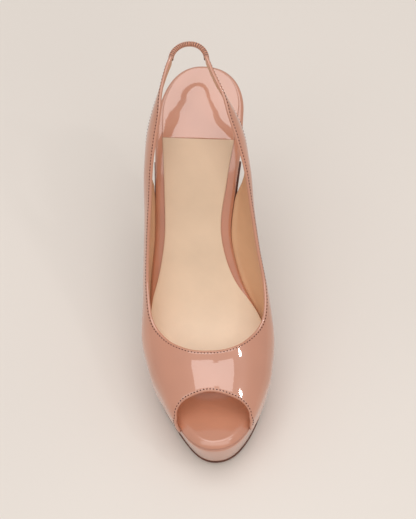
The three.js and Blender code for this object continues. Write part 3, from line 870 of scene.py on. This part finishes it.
class SHOE_OT_sole(bpy.types.Operator):
    """Build the outsole and the covered platform"""
    bl_idname = "shoe.sole"
    bl_label = "Outsole and platform"

    def execute(self, context):
        last = Last(context.scene)
        made = materials(context.scene)
        self.platform(last, made)
        self.outsole(last, made)
        return {"FINISHED"}

    def platform(self, last, made):
        layers = last.layers
        rim = 1.2 * MM
        steps = 14
        levels = []
        for depth, inset in rounding(rim, 3)[:-1]:
            levels.append((lambda y, depth=depth: last.under_insole(y) - depth, flat(layers.rim - inset)))
        for share in np.linspace(0, 1, steps + 1):
            def height(y, share=share):
                return mix(last.under_insole(y) - np.minimum(rim, 0.3 * self.room(last, y)),
                           last.above_sole(y), share)

            def offset(y, share=share):
                return mix(layers.rim, last.outsole_offset(y) - layers.sole_welt, share ** WALL_BOW)

            levels.append((height, offset))
        bm = new_block(150, 12, len(levels) - 1,
                       slab(last, both(last.toe), both(last.place(PLATFORM_END)), levels))
        new_object("patent_platform", bm, [made["patent"]], ["platform"])

    def room(self, last, y):
        return last.under_insole(y) - last.above_sole(y)

    def outsole(self, last, made):
        layers = last.layers
        breast = last.heel - last.stiletto.breast
        # Share of the thickness, from the top down, and inset in mm
        edge = ((0, 0.35), (0.12, 0.08), (0.35, 0.0), (0.7, 0.05), (0.9, 0.35), (1, 0.9))
        levels = []
        for share, inset in edge:
            def height(y, share=share):
                return mix(last.sole_top(y), last.below_sole(y), share)

            def offset(y, inset=inset * MM):
                return last.outsole_offset(y) - inset

            levels.append((height, offset))
        bm = new_block(170, 12, len(levels) - 1,
                       slab(last, both(last.toe), both(breast - layers.clear), levels))
        for face in bm.faces:
            face.material_index = 1 if face.normal.z < -0.3 else 0
        new_object("leather_outsole", bm, [made["sole"], made["tread"]], ["outsole"])


class SHOE_OT_insole(bpy.types.Operator):
    """Build the wrapped insole, the sock and the padded heel pad"""
    bl_idname = "shoe.insole"
    bl_label = "Insole, sock and heel pad"

    def execute(self, context):
        last = Last(context.scene)
        made = materials(context.scene)
        self.insole(last, made)
        border = last.heel - last.layers.pad_length
        slant = last.layers.pad_slant / 2
        pad_front = {"outer": border + slant, "inner": border - slant}
        sock_back = {side: place - last.layers.clear / 2 for side, place in pad_front.items()}
        self.cover(last, "tan_sock", both(-last.layers.sock_end), sock_back, made["sock"], "lining",
                   "sock", 130, 0.25 * MM)
        pad = self.cover(last, "patent_heel_pad", pad_front, both(last.heel), made["patent"], "patent",
                         "heel_pad", 90, last.layers.pad_puff)
        return {"FINISHED"}

    def insole(self, last, made):
        layers = last.layers
        levels = []
        roll = curve(ROLL["out"], ROLL["down"])
        for share in np.linspace(0, 1, 15):
            def height(y, share=share):
                return last.down(y, self.edge_size(last, y, ROLL_DEPTH) * roll(share))

            def offset(y, share=share):
                return -self.edge_size(last, y, ROLL_WIDTH) * (1 - share)

            levels.append((height, offset))
        for depth, inset in ((3.5 * MM, 0.1 * MM), (3.7 * MM, 1.0 * MM), (layers.insole, 2.2 * MM)):
            levels.append((lambda y, depth=depth: last.down(y, depth), flat(-inset)))
        bm = new_block(190, 14, len(levels) - 1, slab(last, both(last.toe), both(last.heel), levels))
        new_object("wrapped_insole", bm, [made["insole"]], ["insole"])

    def edge_size(self, last, y, ends):
        """Width or depth of the insole's rounded edge, larger where the toe shows in the peep"""
        return mix(*ends, smooth((y - last.toe) / ROLL_RUN))

    def cover(self, last, name, front, back, material, slot, node, cells, puff):
        """A thin layer on the insole, with a rounded edge and a cushion of height puff"""
        layers = last.layers
        edge, sunk = 0.6 * MM, 0.05 * MM
        top = layers.clear + layers.sock
        levels = []
        for depth, inset in rounding(edge, 3):
            levels.append((lambda y, depth=depth: last.down(y, depth - top),
                           lambda y, inset=inset: -last.rand(y) - inset))
        levels.append((lambda y: last.down(y, -sunk), lambda y: -last.rand(y)))

        def cushion(u, t, k):
            back = smooth((1 - u) / 0.5)
            sides = smooth(t / 0.5) * smooth((1 - t) / 0.5)
            return np.where(k == 0, puff * back * sides, 0.0)

        bm = new_block(cells, 30, len(levels) - 1, slab(last, front, back, levels, cushion))
        return new_object(name, bm, [material], [node])


class SHOE_OT_heel(bpy.types.Operator):
    """Build the covered heel and its top piece"""
    bl_idname = "shoe.heel"
    bl_label = "Heel"

    def execute(self, context):
        last = Last(context.scene)
        made = materials(context.scene)
        shafts = {name: curve(SHAFT["down"], SHAFT[name]) for name in SHAFT if name != "down"}
        levels, crowding = 70, 1.3
        foot = last.stiletto.top_piece + last.layers.clear
        middle_seat = last.heel - last.stiletto.breast / 2

        def point(u, t, k):
            run = np.sin(u * np.pi / 2)
            down = (k / levels) ** crowding
            seat_x, seat_y = self.seat(last, run, t)
            tip_x, tip_y = self.tip(last, run, t)
            height = mix(last.under_insole(seat_y), last.under_insole(middle_seat), shafts["level"](down))
            x = mix(seat_x, tip_x, shafts["narrow"](down))
            y = mix(seat_y, tip_y, mix(shafts["front"](down), shafts["back"](down), run))
            return np.stack([x, y, mix(height, foot, down)], -1)

        bm = new_block(40, 16, levels, point)
        new_object("covered_heel", bm, [made["patent"]], ["heel"])
        self.top_piece(last, made)
        return {"FINISHED"}

    def seat(self, last, run, t):
        y = mix(last.heel - last.stiletto.breast, last.heel, run)
        inner = last.plan("inner", y, -last.stiletto.margin)
        outer = last.plan("outer", y, -last.stiletto.margin)
        return mix(inner[0], outer[0], t), mix(inner[1], outer[1], t)

    def tip(self, last, run, t, grow=0.0):
        stiletto = last.stiletto
        back = last.heel - stiletto.tip_back + grow
        front = last.heel - stiletto.tip_back - stiletto.tip_length - grow
        half = (stiletto.tip_width / 2 + grow) * np.sqrt(np.maximum(0, 1 - run ** TIP_ROUND))
        return last.middle(last.heel - stiletto.tip_back) + (1 - 2 * t) * half, mix(front, back, run)

    def top_piece(self, last, made):
        high = last.stiletto.top_piece
        # Height and how far it stands out from the tip, both in metres
        rows = ((high, -0.25 * MM), (high - 0.25 * MM, 0.0), (1.2 * MM, 0.0),
                (0.4 * MM, -0.15 * MM), (0.0, -0.5 * MM))

        def point(u, t, k):
            k = np.round(k).astype(int)
            run = np.sin(u * np.pi / 2)
            height, grow = (np.array(column)[k] for column in zip(*rows))
            x, y = self.tip(last, run, t, grow)
            return np.stack([x, y, height], -1)

        bm = new_block(24, 8, len(rows) - 1, point)
        new_object("heel_top_piece", bm, [made["lift"]], ["top_piece"])


class SHOE_OT_sling(bpy.types.Operator):
    """Build the gathered elastic that joins the two straps"""
    bl_idname = "shoe.sling"
    bl_label = "Sling elastic"

    def execute(self, context):
        last = Last(context.scene)
        made = materials(context.scene)
        y = last.place(STRAP_END)
        ends = {}
        for side in SIDES:
            girth = last.girth_at(side, y, last.topline(y) - last.trim.strap_height / 2)
            ends[side] = last.in_wall(np.array([y]), np.array([girth]), np.array([last.layers.wall / 2]))[0]
        centre = (ends["outer"] + ends["inner"]) / 2
        across = (ends["inner"] - ends["outer"]) / 2
        radius = last.trim.elastic / 2
        reach = np.array([0, last.trim.loop_reach, 0])
        up = np.array([0.0, 0.0, 1.0])
        random.seed(7)
        gathers = np.array([random.uniform(0.75, 1.25) for _ in range(GATHERS)])
        where = np.concatenate([[0], np.cumsum(gathers) / gathers.sum()])

        def pinched(u):
            """1 in the pinch between two gathers and 0 on the top of a gather"""
            return 1 - np.abs(np.sin(np.pi * np.interp(u, where, np.arange(GATHERS + 1))))

        def outward(v):
            """1 on the outside of the loop and 0 on its inside"""
            return 0.5 - 0.5 * np.cos(v * 2 * np.pi)

        def place(u, v):
            angle = (np.pi * u)[:, None]
            path = centre - across * np.cos(angle) + reach * np.sin(angle)
            path[:, 1] += last.layers.clear
            ahead = across * np.sin(angle) + reach * np.cos(angle)
            inward = np.cross(ahead, up)
            inward /= np.linalg.norm(inward, axis=1)[:, None]
            turn = v * 2 * np.pi
            pinch = (0.22 + 0.2 * outward(v)) * (1 - (1 - pinched(u)) ** 0.6)
            r = radius * (1.14 - pinch + 0.02 * np.sin(3 * turn + 9 * u))
            return path + inward * (r * np.cos(turn))[:, None] + up * (r * np.sin(turn))[:, None]

        bm = bmesh.new()
        # The layer made here carries where painted shade goes: the pinches between the gathers
        crease = bm.verts.layers.float.new("crease")
        add_grid(bm, 420, 18, place, crease, lambda u, v: pinched(u) * (0.75 + 0.25 * outward(v)))
        close_up(bm)
        new_object("gathered_elastic", bm, [made["elastic"]], ["sling_elastic"])
        return {"FINISHED"}


# Stage


# The camera's aim and place, and its lens in pixels of the frame
TARGET = Vector((0.00136, 0.04401, 0.060))
CAMERA_PLACE = Vector((0.04361, -0.49087, 0.90517))
CAMERA_ROLL = math.radians(-4.35)
FRAME_WIDTH, FRAME_HEIGHT = 416, 519
FOCAL_PIXELS = 1573.8
SENSOR = 36.0


class SHOE_OT_stage(bpy.types.Operator):
    """Set the floor, the studio lights and the camera"""
    bl_idname = "shoe.stage"
    bl_label = "Stage"

    def execute(self, context):
        self.floor(context)
        self.camera(context)
        self.lights(context)
        return {"FINISHED"}

    def floor(self, context):
        bm = bmesh.new()
        bmesh.ops.create_grid(bm, x_segments=8, y_segments=8, size=4.0)
        mesh = bpy.data.meshes.new("floor")
        bm.to_mesh(mesh)
        bm.free()
        floor = bpy.data.objects.new("floor", mesh)
        context.scene.collection.objects.link(floor)
        surface = Surface("pale_floor")
        shade = context.scene.shoe_colours.floor
        cloud = surface.tinted(surface.noise(3.0, 2.0), shade, ((0.3, 0.97), (0.7, 1.02)))
        mesh.materials.append(surface.finish({"Roughness": 0.55}, {"Base Color": cloud}))

    def camera(self, context):
        data = bpy.data.cameras.new("camera")
        data.sensor_width = SENSOR
        data.sensor_fit = "AUTO"
        data.lens = FOCAL_PIXELS / max(FRAME_WIDTH, FRAME_HEIGHT) * SENSOR
        data.clip_start = 0.05
        camera = bpy.data.objects.new("camera", data)
        context.scene.collection.objects.link(camera)
        back = (CAMERA_PLACE - TARGET).normalized()
        right = Vector((0, 0, 1)).cross(back).normalized()
        up = back.cross(right)
        turn = Matrix((right, up, back)).transposed().to_4x4()
        roll = Matrix.Rotation(CAMERA_ROLL, 4, "Z")
        camera.matrix_world = Matrix.Translation(CAMERA_PLACE) @ turn @ roll
        context.scene.camera = camera

    def lights(self, context):
        world = bpy.data.worlds.new("studio")
        world.use_nodes = True
        back = world.node_tree.nodes["Background"]
        back.inputs["Color"].default_value = (1.0, 0.98, 0.96, 1)
        back.inputs["Strength"].default_value = 0.55
        context.scene.world = world
        context.scene.view_settings.view_transform = "Standard"
        for name, place, target, width, height, radiance in (
                ("overhead_left", (-0.22, 0.08, 1.5), (-0.22, 0.081, 0.0), 0.56, 0.96, 2.1),
                ("overhead_middle", (0.12, 0.125, 1.5), (0.12, 0.126, 0.0), 0.12, 0.87, 2.1),
                ("overhead_right", (0.38, 0.10, 1.5), (0.38, 0.101, 0.0), 0.40, 0.92, 2.1),
                ("front_panel", (0.0, -0.89, 1.39), (0.0, -0.02, 0.05), 2.6, 0.71, 1.3),
                ("small_window", (0.79, -0.31, 1.2), (0.0, -0.02, 0.05), 0.05, 0.14, 40.0)):
            self.panel(context, name, place, target, width, height, radiance)

    def panel(self, context, name, place, target, width, height, radiance):
        """A softbox whose brightness doesn't change with its size"""
        data = bpy.data.lights.new(name, "AREA")
        data.shape = "RECTANGLE"
        data.size, data.size_y = width, height
        data.energy = radiance * math.pi * width * height
        light = bpy.data.objects.new(name, data)
        context.scene.collection.objects.link(light)
        light.location = place
        direction = Vector(target) - Vector(place)
        light.rotation_euler = direction.to_track_quat("-Z", "Y").to_euler()


OPERATORS = (SHOE_OT_sole, SHOE_OT_insole, SHOE_OT_heel, SHOE_OT_upper, SHOE_OT_stitching,
             SHOE_OT_sling, SHOE_OT_stage)
GROUPS = {"shoe_last": LastSizes, "shoe_layers": LayerSizes, "shoe_trim": TrimSizes,
          "shoe_heel": HeelSizes, "shoe_colours": ShoeColours}


class SHOE_PT_panel(bpy.types.Panel):
    """Sizes and colours of the shoe, and its pieces"""
    bl_label = "Platform slingback"
    bl_idname = "SHOE_PT_panel"
    bl_space_type = "VIEW_3D"
    bl_region_type = "UI"
    bl_category = "Shoe"

    def draw(self, context):
        for group, kind in GROUPS.items():
            box = self.layout.box()
            box.label(text=kind.__name__)
            for name in kind.__annotations__:
                box.prop(getattr(context.scene, group), name)
        for operator in OPERATORS:
            self.layout.operator(operator.bl_idname)


CLASSES = (*GROUPS.values(), *OPERATORS, SHOE_PT_panel)


def register():
    for kind in CLASSES:
        bpy.utils.register_class(kind)
    for name, kind in GROUPS.items():
        setattr(bpy.types.Scene, name, PointerProperty(type=kind))


def unregister():
    for name in GROUPS:
        delattr(bpy.types.Scene, name)
    for kind in reversed(CLASSES):
        bpy.utils.unregister_class(kind)


def main():
    register()
    bpy.ops.shoe.sole()
    bpy.ops.shoe.insole()
    bpy.ops.shoe.heel()
    bpy.ops.shoe.upper()
    bpy.ops.shoe.stitching()
    bpy.ops.shoe.sling()
    bpy.ops.shoe.stage()


if __name__ == "__main__":
    main()
